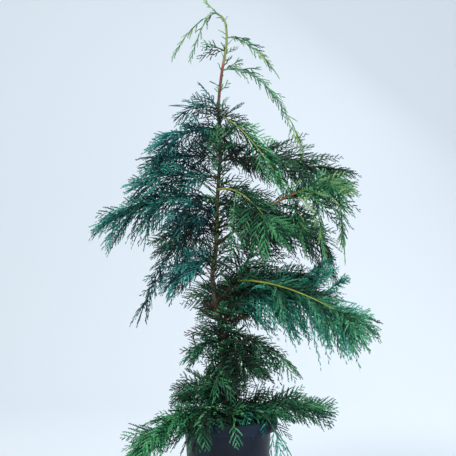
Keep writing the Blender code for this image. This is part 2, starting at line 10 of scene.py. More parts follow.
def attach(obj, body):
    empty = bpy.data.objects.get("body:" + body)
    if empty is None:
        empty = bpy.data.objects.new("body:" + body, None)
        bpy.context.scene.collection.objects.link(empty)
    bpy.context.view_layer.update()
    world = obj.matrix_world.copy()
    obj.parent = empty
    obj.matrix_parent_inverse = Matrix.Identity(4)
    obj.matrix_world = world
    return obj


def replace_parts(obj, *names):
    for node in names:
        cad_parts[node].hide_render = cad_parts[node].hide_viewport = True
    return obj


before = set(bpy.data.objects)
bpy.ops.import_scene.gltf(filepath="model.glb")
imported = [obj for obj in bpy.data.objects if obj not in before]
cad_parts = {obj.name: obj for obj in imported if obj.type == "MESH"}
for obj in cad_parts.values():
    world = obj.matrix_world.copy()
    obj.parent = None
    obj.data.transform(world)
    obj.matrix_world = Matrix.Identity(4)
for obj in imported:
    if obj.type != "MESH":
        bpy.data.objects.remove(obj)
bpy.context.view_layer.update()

mm = 0.001
up = Vector((0, 0, 1))

# The camera stands where the photo was taken from
cameraPlan = {
    "place": (0, -1.53, 0.463),
    "pitch": 3.64,  # degrees above level
    "lens": 64.6,
    "sensor": 36,
    "clip": (0.05, 50),
}


def newObject(name, data):
    thing = bpy.data.objects.new(name, data)
    bpy.context.scene.collection.objects.link(thing)
    return thing


def makeCamera(plan):
    data = bpy.data.cameras.new("photoCamera")
    data.lens = plan["lens"]
    data.sensor_width = plan["sensor"]
    data.clip_start, data.clip_end = plan["clip"]
    camera = newObject("photoCamera", data)
    camera.location = plan["place"]
    camera.rotation_euler = (radians(90 + plan["pitch"]), 0, 0)
    bpy.context.scene.camera = camera


makeCamera(cameraPlan)
print("camera placed")


def linearColour(code):
    # sRGB hex to linear red, green and blue
    channels = []
    for start in (0, 2, 4):
        value = int(code[start:start + 2], 16) / 255
        channels.append(value / 12.92 if value <= 0.04045 else ((value + 0.055) / 1.055) ** 2.4)
    return (*channels, 1)


def setSockets(material, node, inputs, links):
    # inputs are socket values, links are socket: (node, its output)
    for name, value in (inputs or {}).items():
        node.inputs[name].default_value = value
    for name, (source, output) in (links or {}).items():
        material.node_tree.links.new(source.outputs[output], node.inputs[name])


def addNode(material, kind, inputs=None, links=None, settings=None):
    node = material.node_tree.nodes.new("ShaderNode" + kind)
    for name, value in (settings or {}).items():
        setattr(node, name, value)
    setSockets(material, node, inputs, links)
    return node


def rampStops(node, stops):
    # stops are (place, hex colour); the ramp starts with two stops of its own
    elements = node.color_ramp.elements
    while len(elements) < len(stops):
        elements.new(0.5)
    for element, (place, code) in zip(elements, stops):
        element.position = place
        element.color = linearColour(code)


def newMaterial(name):
    material = bpy.data.materials.new(name)
    material.use_nodes = True
    return material


def surfaced(material, inputs, links=None):
    # sets the material's own shader
    setSockets(material, material.node_tree.nodes["Principled BSDF"], inputs, links)
    return material


def scaleLeaf(name, shade, light):
    # living cypress scale leaves, thinly waxed: a soft highlight, and paler where the wax is thick.
    # The patches of wax are about 9 mm wide and the scales 1.6 mm long
    material = newMaterial(name)
    place = (addNode(material, "TexCoord"), "Object")
    patch = addNode(material, "TexNoise", {"Scale": 1 / (9 * mm), "Detail": 2.0}, {"Vector": place})
    ramp = addNode(material, "ValToRGB", links={"Fac": (patch, "Fac")})
    rampStops(ramp, ((0.34, shade), (0.66, light)))
    scales = addNode(material, "TexNoise", {"Scale": 1 / (1.6 * mm), "Detail": 1.0}, {"Vector": place})
    bump = addNode(material, "Bump", {"Strength": 0.35, "Distance": 0.3 * mm}, {"Height": (scales, "Fac")})
    return surfaced(material, {"Roughness": 0.62, "IOR": 1.45, "Specular IOR Level": 0.3},
                    {"Base Color": (ramp, "Color"), "Normal": (bump, "Normal")})


def liveBark(name, shade, light):
    # thin smooth bark of a shoot in its first years: matt, with streaks along it. Real ones are
    # under 0.5 mm wide and are drawn at 1.8 mm, so that they show
    material = newMaterial(name)
    place = (addNode(material, "TexCoord"), "Object")
    stretched = addNode(material, "Mapping", {"Scale": (1, 1, 0.12)}, {"Vector": place})
    streak = addNode(material, "TexNoise", {"Scale": 1 / (1.8 * mm), "Detail": 4.0},
                     {"Vector": (stretched, "Vector")})
    ramp = addNode(material, "ValToRGB", links={"Fac": (streak, "Fac")})
    rampStops(ramp, ((0.32, shade), (0.68, light)))
    bump = addNode(material, "Bump", {"Strength": 0.5, "Distance": 0.25 * mm}, {"Height": (streak, "Fac")})
    return surfaced(material, {"Roughness": 0.72, "IOR": 1.45},
                    {"Base Color": (ramp, "Color"), "Normal": (bump, "Normal")})


def trunkBark(name, foot, tip):
    # the trunk's bark by its age: brown at the foot, olive and yellow green, reddish near the tip
    material = newMaterial(name)
    place = (addNode(material, "TexCoord"), "Object")
    parts = addNode(material, "SeparateXYZ", links={"Vector": place})
    wobble = addNode(material, "TexNoise", {"Scale": 1 / (22 * mm), "Detail": 3.0}, {"Vector": place})
    uneven = addNode(material, "Math", {1: 0.05, 2: -0.025}, {0: (wobble, "Fac")},
                     {"operation": "MULTIPLY_ADD"})
    raised = addNode(material, "Math", None, {0: (parts, "Z"), 1: (uneven, "Value")}, {"operation": "ADD"})
    share = addNode(material, "MapRange", {"From Min": foot, "From Max": tip}, {"Value": (raised, "Value")})
    age = addNode(material, "ValToRGB", links={"Fac": (share, "Result")})
    rampStops(age, ((0.0, "3a2c25"), (0.25, "45322a"), (0.31, "625a47"), (0.41, "6b6645"),
                    (0.44, "85874a"), (0.51, "85874a"), (0.55, "42342a"), (0.73, "4b382d"),
                    (0.78, "6d4136"), (0.86, "7d443a"), (0.885, "a0603f"), (0.90, "8f9a55")))
    stretched = addNode(material, "Mapping", {"Scale": (1, 1, 0.1)}, {"Vector": place})
    streak = addNode(material, "TexNoise", {"Scale": 1 / (2.2 * mm), "Detail": 5.0},
                     {"Vector": (stretched, "Vector")})
    depth = addNode(material, "MapRange", {"To Min": 0.55, "To Max": 1.35}, {"Value": (streak, "Fac")})
    mix = addNode(material, "Mix", {0: 1.0}, {6: (age, "Color"), 7: (depth, "Result")},
                  {"data_type": "RGBA", "blend_type": "MULTIPLY"})
    bump = addNode(material, "Bump", {"Strength": 0.6, "Distance": 0.4 * mm}, {"Height": (streak, "Fac")})
    return surfaced(material, {"Roughness": 0.7}, {"Base Color": (mix, 2), "Normal": (bump, "Normal")})


def mouldedPlastic(name, shade, light):
    # polypropylene from a fine-grained mould: satin, with a bloom of dust that dulls it in patches.
    # The real grain is about 0.1 mm and is drawn at 0.8 mm, so that it shows
    material = newMaterial(name)
    place = (addNode(material, "TexCoord"), "Object")
    dust = addNode(material, "TexNoise", {"Scale": 1 / (30 * mm), "Detail": 6.0}, {"Vector": place})
    ramp = addNode(material, "ValToRGB", links={"Fac": (dust, "Fac")})
    rampStops(ramp, ((0.35, shade), (0.72, light)))
    dull = addNode(material, "MapRange", {"To Min": 0.34, "To Max": 0.58}, {"Value": (dust, "Fac")})
    grain = addNode(material, "TexNoise", {"Scale": 1 / (0.8 * mm), "Detail": 2.0}, {"Vector": place})
    bump = addNode(material, "Bump", {"Strength": 0.12, "Distance": 0.1 * mm}, {"Height": (grain, "Fac")})
    return surfaced(material, {"IOR": 1.49, "Specular IOR Level": 0.25},
                    {"Base Color": (ramp, "Color"), "Roughness": (dull, "Result"),
                     "Normal": (bump, "Normal")})


def moistCompost(name, shade, light):
    # peat-free compost: dark moist crumbs with paler fibres, fully matt
    material = newMaterial(name)
    place = (addNode(material, "TexCoord"), "Object")
    crumb = addNode(material, "TexNoise", {"Scale": 1 / (4 * mm), "Detail": 6.0}, {"Vector": place})
    ramp = addNode(material, "ValToRGB", links={"Fac": (crumb, "Fac")})
    rampStops(ramp, ((0.38, shade), (0.70, light)))
    bump = addNode(material, "Bump", {"Strength": 0.8, "Distance": 1.0 * mm}, {"Height": (crumb, "Fac")})
    return surfaced(material, {"Roughness": 0.95},
                    {"Base Color": (ramp, "Color"), "Normal": (bump, "Normal")})


# Limbs, as in the solids: millimetres and degrees. Heading 0 is to the viewer's right, 90 away. Its
# leaders are side shoots that bear sprays of their own
limbDefaults = {
    "girth": 3.6,
    "bare": 0.0,  # share of its length that is a bare bough
    "carrier": "trunk", "tone": "mid", "leaders": (),
    "whips": 0.25,  # share of its sprays that are long and narrow
    "gap": 1.0,  # between its sprays, times the usual
    "light": 1.0,  # above 1 has more of the lighter shades: fresher growth, and painted light on the limb
    "full": 1.0,  # length of its sprays, times the usual
    "slim": 1.0,  # and once more near its tip
    "leafFrom": 0.35,  # share of the bare bough that stays without sprays
    "spread": 1.0,  # angle between a spray and the stem, times the usual
    "taper": 0.42,  # share of its girth that the bare bough loses
    "open": 0.0,  # share of its stem that bears no sprays towards the front
    "bark": "dark",
}
leaderDefaults = {"girth": 2.0, "side": 12, "loft": 9, "hang": 12}


def limb(name, height, heading, reach, rise, droop, around=(0, 0, 0), curl=2.0, **others):
    # around is side, loft and hang: how far its sprays reach beside, above and below it
    side, loft, hang = around
    return dict(limbDefaults, name=name, height=height, heading=heading, reach=reach, rise=rise,
                droop=droop, curl=curl, side=side, loft=loft, hang=hang) | others


def leader(share, heading, reach, rise, droop, curl=1.6, **others):
    # share says where on the leafy stretch of its limb it starts
    return share, limb("", 0, heading, reach, rise, droop, curl=curl) | leaderDefaults | others


secondLimb = limb("second_limb", 372, -26, 88, 236, 56, curl=2.5, girth=6.2, taper=0.48)

# A limb whose height is above its carrier's end starts at that end
limbs = (
    # the nodding tip and the thin shoots round it
    limb("tip", 970, 150, 36, 42, 2, (13, 9, 9), girth=2.8, tone="fresh", bark="leafy", gap=2.2, whips=0,
         full=0.62, spread=0.7, leaders=(
        leader(0.06, 186, 86, 8, 92, 1.5, side=11, bark="leafy", gap=2, full=0.6, spread=0.7),
        leader(0.12, 170, 50, 0, 88, 1.7, bark="leafy", gap=2, full=0.6, spread=0.7),
    )),
    limb("upper_sprays", 896, 176, 40, 26, 12, (24, 16, 26), gap=1.3, whips=0),
    limb("top_arch", 923, 2, 100, 30, 102, (22, 24, 16), 1.6, girth=3.0, tone="fresh", bark="leafy", gap=2.9,
         whips=0, full=0.62, spread=0.7,
         leaders=(leader(0.06, 8, 44, 12, 20, side=18, gap=1.4, light=0.5),)),
    limb("right_whip", 860, -4, 154, 42, 195, (30, 22, 22), 2.1, tone="fresh", bark="leafy", gap=3.2,
         full=0.62, spread=0.7, leaders=(
        leader(0.03, 10, 34, 30, 8, side=16, gap=1.4, light=0.5),
        leader(0.16, -12, 40, 12, 12, side=14, gap=1.5, light=0.5),
    )),
    limb("upper_left", 786, 178, 84, 26, 42, (55, 42, 27), tone="blue", gap=1.2, whips=0.1, full=0.85,
         slim=0.7, leaders=(leader(0.0, 165, 42, 68, 10, side=13, gap=1.5, full=0.9),)),

    # right side, from the top down
    limb("second_top", 553, -24, 92, 44, 30, (64, 36, 40), girth=3.2, carrier="second_limb", gap=0.8),
    limb("bright_right", 773, -35, 158, 12, 176, (49, 36, 35), 1.4, girth=4.0, bare=0.07, tone="bright",
         bark="lime", open=0.7, gap=0.8, whips=0.4, slim=0.4),
    limb("dark_arch", 687, 12, 262, 62, 98, (72, 48, 46), girth=5.2, bare=0.18, tone="dark", gap=0.8,
         light=3.0, whips=0.15),
    limb("front_right", 632, -55, 190, 26, 130, (61, 25, 46), 1.8, girth=4.6, bare=0.2, bark="lime",
         open=0.5, gap=0.9, light=0.75,
         leaders=(leader(0.1, -110, 34, 0, 118, 1.8, side=18, bark="leafy", light=6),)),
    limb("rising_right", 528, -31, 268, 176, 78, (72, 28, 84), 2.8, girth=5.4, bare=0.45, tone="fresh",
         bark="amber", leafFrom=1, taper=0.1, open=0.45, gap=0.6, light=0.45, leaders=(
        leader(0.3, -10, 24, 0, 104, side=20, whips=0.6),
        leader(0.55, -10, 22, 0, 122, side=20, whips=0.6),
        leader(0.85, 4, 14, 0, 132, side=18, whips=0.6),
    )),
    limb("middle_right", 560, 8, 226, 74, 116, (72, 42, 49), 2.2, girth=5.0, bare=0.2, tone="dark", gap=0.75,
         whips=0.5, leaders=(leader(0.86, 0, 26, 4, 96, side=22, whips=0.6),)),
    limb("low_right_front", 462, -35, 262, 20, 104, (75, 31, 59), 1.7, girth=4.4, bare=0.35,
         carrier="second_limb", tone="lush", bark="lime", leafFrom=0.3, open=0.8, gap=0.8, light=0.95,
         whips=0.35, leaders=(
        leader(-0.12, -50, 30, 0, 56, side=22),
        leader(0.7, -78, 68, 8, 58, side=28, gap=0.8, whips=0.5),
    )),
    limb("low_right_back", 444, 20, 200, 58, 50, (70, 42, 32), girth=4.8, bare=0.18, tone="dark", gap=0.4,
         light=1.3, whips=0, leaders=(
        leader(-0.1, -40, 56, 8, 80, side=26),
        leader(0.12, -60, 44, 0, 74, side=24),
    )),
    limb("low_right_outer", 424, -3, 268, 84, 136, (78, 62, 76), 2.2, girth=5.2, bare=0.39, tone="teal",
         leafFrom=0.15, gap=0.65, light=2.0, whips=0.6, leaders=(
        leader(-0.22, -30, 56, 4, 62, side=28, gap=0.6),
        leader(-0.1, -16, 58, 0, 80, side=30, gap=0.6),
        leader(0.02, -20, 50, 0, 66, side=28, gap=0.7),
        leader(0.2, 12, 84, 116, 38, 2.0, side=34, gap=0.6, light=2),
        leader(0.3, 2, 64, 88, 28, 2.0, side=40, gap=0.5, light=3),
        leader(0.48, 0, 60, 92, 44, 2.0, side=30, gap=0.6, light=2),
        leader(0.3, 22, 64, 106, 34, 2.0, side=34, gap=0.5, light=2),
        leader(0.32, -20, 52, 0, 92, side=26, gap=0.8, light=2, whips=0.5),
        leader(0.6, -14, 34, 0, 84, side=26, gap=0.8, light=2, whips=0.5),
    )),
    limb("drooping_right", 370, -22, 150, 14, 84, (64, 12, 46), 1.5, girth=4.2, gap=0.8, whips=0.6, full=0.8,
         slim=0.7),
    limb("inner_right", 344, -48, 78, 16, 74, (52, 40, 40), 1.7, girth=4.0, tone="dark", gap=0.45,
         whips=0.1),
    limb("bottom_right", 224, -8, 198, 34, 42, (70, 48, 24), 2.4, girth=5.0, bare=0.13, gap=0.6, light=0.8,
         whips=0.15, slim=0.75, leaders=(
        leader(-0.15, -74, 62, 18, 16, side=34, loft=26, gap=0.6),
        leader(-0.05, -42, 78, 22, 28, side=34, loft=26, gap=0.6),
        leader(0.14, -46, 84, 20, 36, side=30, loft=24, gap=0.7),
    )),
    limb("over_rim_right", 221, -38, 130, 22, 96, (49, 10, 35), 5.0, tone="teal", gap=2.2, slim=0.7),
    limb("over_rim_front", 219, -80, 116, 20, 60, (49, 10, 19), 5.0, girth=3.2, tone="bright", gap=4.0,
         light=0.6, slim=0.6),

    # left side, from the top down
    limb("left_one", 746, 193, 138, 20, 66, (58, 31, 30), 1.7, girth=4.0, tone="blue", gap=0.95),
    limb("left_two", 693, 172, 148, 42, 62, (64, 34, 32), 1.8, girth=4.4, bare=0.12, tone="cool", gap=0.95),
    limb("left_three", 655, 190, 174, 42, 70, (70, 34, 35), 1.8, girth=4.6, bare=0.16, tone="coolMid",
         gap=0.9),
    limb("left_main", 615, 181, 224, 48, 112, (70, 36, 46), girth=5.6, bare=0.2, tone="jade", gap=0.8,
         light=0.5, whips=0.6, leaders=(leader(0.34, 200, 26, 0, 92, 1.7),)),
    limb("left_inner_high", 590, 216, 118, 34, 66, (58, 36, 34), 1.8, girth=4.2, tone="cool", gap=0.95),
    limb("left_hanging", 553, 196, 150, 62, 234, (61, 31, 35), 2.2, girth=5.4, bare=0.1, tone="cool",
         gap=1.7, whips=0.8, slim=0.5),
    limb("left_low", 497, 186, 92, 26, 76, (61, 31, 32), 1.8, girth=4.4, tone="blue", gap=0.7, light=1.4,
         whips=0.5),
    limb("left_inner", 352, 188, 76, 14, 52, (52, 36, 35), 1.8, girth=4.0, gap=0.7, whips=0.1, full=0.85,
         slim=0.6, leaders=(
        leader(0.0, 205, 38, 0, 84, side=24),
        leader(0.3, 160, 20, 44, 10, side=18),
        leader(0.0, 230, 22, 56, 10, side=16),
        leader(0.6, 190, 10, 36, 6, side=14),
    )),
    limb("left_bottom", 258, 174, 92, 32, 44, (61, 34, 24), girth=4.4, gap=0.5, whips=0.1,
         leaders=(leader(0.15, 215, 34, 54, 16, side=22),)),
    limb("bottom_left", 222, 205, 206, 48, 150, (64, 28, 32), 2.3, girth=5.2, bare=0.18, tone="bright",
         gap=0.45, light=1.15, whips=0.3, slim=0.75),
    limb("over_rim_left", 220, 240, 124, 22, 66, (64, 10, 19), 5.0, gap=0.45, light=0.25),
    limb("front_low", 318, 258, 74, 6, 66, (55, 22, 35), 1.7, gap=1.1, light=0.9, full=0.75,
         leaders=(leader(0.0, 212, 22, 2, 40, side=15, light=9),)),

    # far side
    limb("back_upper", 734, 84, 126, 30, 56, (64, 34, 32), girth=4.2, bare=0.1, tone="dark"),
    limb("back_right", 604, 52, 190, 44, 84, (72, 36, 43), girth=5.0, bare=0.16),
    limb("back_left", 566, 122, 184, 40, 92, (72, 36, 43), girth=5.0, bare=0.16, tone="dark"),
    limb("back_low", 432, 82, 178, 44, 80, (75, 39, 46), girth=4.8, bare=0.14),
    limb("back_bottom", 232, 92, 168, 34, 60, (75, 39, 27), 2.6, girth=4.6, bare=0.14, tone="dark"),
)

# Trunk: height, shift to the side, shift in depth, diameter, in millimetres
trunkStations = (
    (203, -5, 0, 20.0), (213, -5, 0, 13.5), (273, -5, 0, 12.0), (352, -9, 0, 10.6),
    (409, -20, -1, 9.8), (467, -29, -2, 9.0), (528, -22, -1, 8.0), (613, -20, 0, 7.2),
    (723, -14, 1, 6.4), (790, -18, 1, 5.8), (853, -12, 0, 5.4), (910, -3, 0, 4.8),
    (946, -4, 0, 4.2), (963, -11, 0, 3.6), (968, -20, 0, 2.8),
)


def smoothThrough(stations, steps):
    # a smooth curve through every station
    ends = [stations[0], *stations, stations[-1]]
    rows = []
    for before, start, stop, after in zip(ends, ends[1:], ends[2:], ends[3:]):
        for step in range(steps):
            t = step / steps
            row = []
            for a, b, c, d in zip(before, start, stop, after):
                bend = t * (2 * a - 5 * b + 4 * c - d + t * (3 * (b - c) + d - a))
                row.append(b + 0.5 * t * (c - a + bend))
            rows.append(row)
    rows.append(list(stations[-1]))
    return rows


def limbLine(row, start, samples=90):
    heading = radians(row["heading"])
    line = []
    for k in range(samples + 1):
        t = k / samples
        level = row["reach"] * t
        height = row["rise"] * t - row["droop"] * t ** row["curl"]
        line.append(start + Vector((level * cos(heading), level * sin(heading), height)) * mm)
    return line


def lineLength(line):
    return sum((high - low).length for low, high in zip(line, line[1:]))


def along(line, distance):
    for low, high in zip(line, line[1:]):
        step = (high - low).length
        if distance <= step:
            return low.lerp(high, distance / step)
        distance -= step
    return line[-1].copy()


def stretch(line, start, stop, spacing):
    count = max(2, round((stop - start) / spacing))
    return [along(line, start + (stop - start) * k / count) for k in range(count + 1)]


def atHeight(points, height):
    for low, high in zip(points, points[1:]):
        if low.z <= height <= high.z:
            return low.lerp(high, (height - low.z) / (high.z - low.z))
    return points[-1].copy()


class Heap:
    # vertices, triangles and a material number for each triangle, gathered for one joined mesh

    def __init__(self):
        self.spots = []
        self.faces = []
        self.numbers = []
        self.count = 0

    def add(self, spots, faces, number):
        # number is one material for all the triangles, or an array with one for each
        self.spots.append(spots)
        self.faces.append(faces + self.count)
        self.numbers.append(np.full(len(faces), number, np.int32))
        self.count += len(spots)

    def triangles(self):
        return sum(len(faces) for faces in self.faces)

    def joined(self):
        return np.concatenate(self.spots), np.concatenate(self.faces), np.concatenate(self.numbers)

    def build(self, name, materials, smooth=True):
        spots, faces, numbers = self.joined()
        mesh = bpy.data.meshes.new(name)
        mesh.vertices.add(len(spots))
        mesh.vertices.foreach_set("co", spots.astype(np.float32).ravel())
        mesh.loops.add(faces.size)
        mesh.loops.foreach_set("vertex_index", faces.astype(np.int32).ravel())
        mesh.polygons.add(len(faces))
        mesh.polygons.foreach_set("loop_start", np.arange(0, faces.size, 3, dtype=np.int32))
        mesh.polygons.foreach_set("material_index", numbers)
        mesh.polygons.foreach_set("use_smooth", np.full(len(faces), smooth))
        mesh.update(calc_edges=True)
        mesh.validate()
        for material in materials:
            mesh.materials.append(material)
        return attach(newObject(name, mesh), "root")


def framesAlong(points):
    # ahead, across and over at each point, carried on without a twist
    across = None
    frames = []
    for k in range(len(points)):
        ahead = (points[min(k + 1, len(points) - 1)] - points[max(k - 1, 0)]).normalized()
        if across is None:
            across = ahead.cross(up)
            if across.length < 0.1:  # a stem that stands nearly upright
                across = ahead.cross(Vector((0, 1, 0)))
        across = (across - ahead * across.dot(ahead)).normalized()
        frames.append((ahead, across, ahead.cross(across)))
    return frames


def bandFaces(rings, sides, first=0):
    # triangles between rings of corners that follow each other from the first corner on
    faces = []
    for start in range(first, first + (rings - 1) * sides, sides):
        for j in range(sides):
            a, b = start + j, start + (j + 1) % sides
            faces.append((a, b, b + sides))
            faces.append((a, b + sides, a + sides))
    return faces


def tubeMesh(points, radii, sides, relief=None):
    # a tube closed at both ends; relief gives the share of the radius to add at a spot
    spots = []
    for point, radius, (ahead, across, over) in zip(points, radii, framesAlong(points)):
        for j in range(sides):
            angle = 2 * pi * j / sides
            out = across * cos(angle) + over * sin(angle)
            swell = 1 + (relief(point + out * radius) if relief else 0)
            spots.append(point + out * radius * swell)
    faces = bandFaces(len(points), sides)
    last = (len(points) - 1) * sides
    for j in range(1, sides - 1):
        faces.append((0, j + 1, j))
        faces.append((last, last + j, last + j + 1))
    return np.array(spots), np.array(faces)


# A spray is flat: fingers leave its rib by turns to the left and the right, and spurs of scale leaves
# leave each finger the same way. Millimetres and degrees. A loose angle is its middle, its slack to
# both sides, and what it loses from foot to tip
sprayPlan = {
    "seed": 21,
    "classes": (14, 20, 28, 38, 52, 70, 94),  # lengths that sprays are grown in
    "variants": 5,  # of each length
    "habits": {"fan": (0.45, 28), "whip": (0.23, 16)},  # longest finger: share of the spray, and limit
    "sag": {"fan": (0.08, 0.26), "whip": (0.24, 0.50)},
    "ribGirth": (1.5, 0.006),  # and what it gains for each millimetre of length
    "finger": 24,  # a spray shorter than this is a single finger
    "shortestFinger": 3,
    "widest": 0.3,  # share of the rib where the fingers are longest
    "outline": (0.55, 0.45, 0.7),  # length at the foot, its gain up to there, the power of its fall
    "ageAndLight": (1.1, 1.4, 0.3),  # how often a finger at the foot is older, even or younger, and so painted darker, even or lighter
    "fingerSpacing": 5.5,
    "fingerShare": 0.95,  # of the rib, for the count of its fingers
    "fingerGirth": 1.6,
    "fingerRange": (0.6, 1.3),
    "fingerOpening": (43, 7, 9),
    "fingerTilt": (0, 16, 0),
    "spurSpacing": 2.5,
    "spurShare": 0.94,  # of the finger, for the count of its spurs
    "spurLength": (1.9, 0.12),  # and what it gains for each millimetre of the finger
    "spurOutline": (1.1, 0.5),  # its start, and the power of its fall
    "spurRange": (0.75, 1.25),
    "spurOpening": (38, 7, 0),
    "spurTilt": (0, 20, 0),
    "width": 2.6,  # of a spur; real ones are 1.5 wide and drawn broader, so that they show
    "thickness": 1.5,
    "bend": 0.13,  # of a shoot towards its rib's tip, as a share of its length
}


def looseAngle(rule, chance, share=0):
    # an angle drawn by its rule, at this share of the way from foot to tip
    middle, slack, loss = rule
    return radians(middle - loss * share + chance.uniform(-slack, slack))


def spur(length, width, thickness):
    # 4 corners, 3 faces: a point whose open foot is inside its rib
    spots = np.array(((0, 0.5 * width, -0.3 * thickness), (0, -0.5 * width, -0.3 * thickness),
                      (0, 0, 0.7 * thickness), (length, 0, 0)))
    return spots, np.array(((0, 3, 1), (1, 3, 2), (2, 3, 0)))


def rib(length, width):
    # 7 corners, 9 faces: a three-sided shoot in two stretches with a pointed end
    spots = []
    for forward, radius in ((0, 0.5 * width), (0.5 * length, 0.4 * width)):
        for j in range(3):
            angle = 2 * pi * j / 3 + 0.5
            spots.append((forward, radius * cos(angle), radius * sin(angle)))
    spots.append((length, 0, 0))
    faces = []
    for j in range(3):
        after = (j + 1) % 3
        faces.extend(((j, after, 3 + after), (j, 3 + after, 3 + j), (3 + j, 3 + after, 6)))
    return np.array(spots), np.array(faces)


def turnedOut(parts, forward, opening, tilt, plan):
    # moves a shoot that was grown along x to its place on a rib, curved towards the rib's tip
    placed = []
    turn = np.array(Matrix.Rotation(opening, 3, "Z") @ Matrix.Rotation(tilt, 3, "X"))
    length = max(spots[:, 0].max() for spots, faces, age in parts)
    for spots, faces, age in parts:
        bend = plan["bend"] * copysign(1, opening) * spots[:, 0] ** 2 / length
        flat = np.stack((spots[:, 0], spots[:, 1] - bend, spots[:, 2]), axis=1)
        placed.append((flat @ turn.T + (forward, 0, 0), faces, age))
    return placed


def growFinger(length, age, chance, plan):
    parts = [(*rib(length, plan["fingerGirth"]), age)]
    count = int(plan["spurShare"] * length / plan["spurSpacing"])
    least, gain = plan["spurLength"]
    start, power = plan["spurOutline"]
    hand = chance.choice((-1, 1))
    for k in range(1, count + 1):
        hand = -hand
        share = k / (count + 1)
        longest = (least + gain * length) * (start - share) ** power
        opening = hand * looseAngle(plan["spurOpening"], chance)
        point = spur(longest * chance.uniform(*plan["spurRange"]), plan["width"], plan["thickness"])
        tilt = looseAngle(plan["spurTilt"], chance)
        parts += turnedOut([(*point, age)], share * length, opening, tilt, plan)
    return parts


def growSpray(length, habit, chance, plan):
    # parts are vertices, faces and age: -1 for old wood and inner fingers, 1 for the youngest fingers.
    # The age also steps a finger's shade: painted shade on inner fingers, painted light on outer ones
    if length < plan["finger"]:
        return growFinger(length, 0, chance, plan)
    girth, gain = plan["ribGirth"]
    parts = [(*rib(length, girth + gain * length), -1)]
    least, widest = plan["shortestFinger"], plan["widest"]
    foot, rise, power = plan["outline"]
    older, even, younger = plan["ageAndLight"]
    portion, limit = plan["habits"][habit]
    longest = min(limit, least + portion * length)
    count = int(plan["fingerShare"] * length / plan["fingerSpacing"])
    hand = chance.choice((-1, 1))
    for k in range(1, count + 1):
        hand = -hand
        share = k / (count + 1)
        # fingers lengthen up to the widest place and shorten beyond it
        if share < widest:
            outline = foot + rise * share / widest
        else:
            outline = ((1 - share) / (1 - widest)) ** power
        child = longest * outline * chance.uniform(*plan["fingerRange"])
        if child < least:
            continue
        # the finger's age also sets its painted shade: older ones darker, younger ones lighter
        age = chance.choices((-1, 0, 1), (older - share, even, younger + share))[0]
        opening = hand * looseAngle(plan["fingerOpening"], chance, share)
        finger = growFinger(child, age, chance, plan)
        tilt = looseAngle(plan["fingerTilt"], chance)
        parts += turnedOut(finger, share * length, opening, tilt, plan)
    return parts


def growShapes(plan):
    chance = random.Random(plan["seed"])
    grown = {}
    for habit in plan["habits"]:
        for length in plan["classes"]:
            grown[habit, length] = []
            for variant in range(plan["variants"]):
                heap = Heap()
                for part in growSpray(length, habit, chance, plan):
                    heap.add(*part)
                grown[habit, length].append(heap.joined())
    print("sprays grown:", len(grown), "kinds")
    return grown


sprayShapes = growShapes(sprayPlan)

# Bark of boughs and twigs: dark on older wood, amber and then lime where last year's shoots ripen.
# The last word is the bark of a twig's outer half
barks = {
    "dark": ("darkBoughBark", "2c2319", "55432f", "green"),
    "amber": ("amberShootBark", "7c4a26", "b47c3e", "lime"),
    "lime": ("limeShootBark", "7d8a34", "b3b552", "lime"),
    "green": ("greenShootBark", "2f4a2c", "5f7a44", "green"),
    "leafy": ("leafyShootBark", "3f8058", "78b084", "leafy"),
}
barkNumbers = {name: number for number, name in enumerate(barks)}

# Trunk, second limb and boughs, in millimetres
woodyPlan = {
    "smoothing": 16,  # points between two of the trunk's stations
    "step": 3,  # between the points of a limb
    "trunkSides": 18, "limbSides": 12, "boughSides": 10,
    "collar": 0.5,  # swelling where a limb leaves its carrier, as a share of its girth
    "limbCollar": 6, "boughCollar": 5,  # lengths over which it fades
    "older": 0.45,  # share of an amber bough that is dark already
    "barkFoot": 200,  # height at which the trunk's bark is oldest
    # width of the bark's ridges, their height as a share of the radius, and their stretch upwards
    "ridges": (1.6, 0.055, 0.18),
    "swellings": (9, 0.06),  # width and height of the broader ones
}


def newBarks(prefix):
    return [liveBark(prefix + name, shade, light) for name, shade, light, end in barks.values()]


def barkRelief(spot):
    width, height, upwards = woodyPlan["ridges"]
    fine = height * noise.noise(Vector((spot.x, spot.y, spot.z * upwards)) / (width * mm))
    width, height = woodyPlan["swellings"]
    return fine + height * noise.noise(spot / (width * mm))


def bareStretch(line, length, row, fade):
    # points and radii of a limb, with a collar at its foot
    points = stretch(line, 0, length, woodyPlan["step"] * mm)
    radii = []
    for k in range(len(points)):
        share = k / (len(points) - 1)
        collar = 1 + woodyPlan["collar"] * exp(-share * length / (fade * mm))
        radii.append(0.5 * row["girth"] * mm * (1 - row["taper"] * share) * collar)
    return points, radii


def addStem(heap, points, radii, sides, split, lower, upper, relief=None):
    # a stem whose bark changes at the point with the number split
    if split:
        heap.add(*tubeMesh(points[:split + 1], radii[:split + 1], sides, relief), barkNumbers[lower])
    heap.add(*tubeMesh(points[split:], radii[split:], sides, relief), barkNumbers[upper])


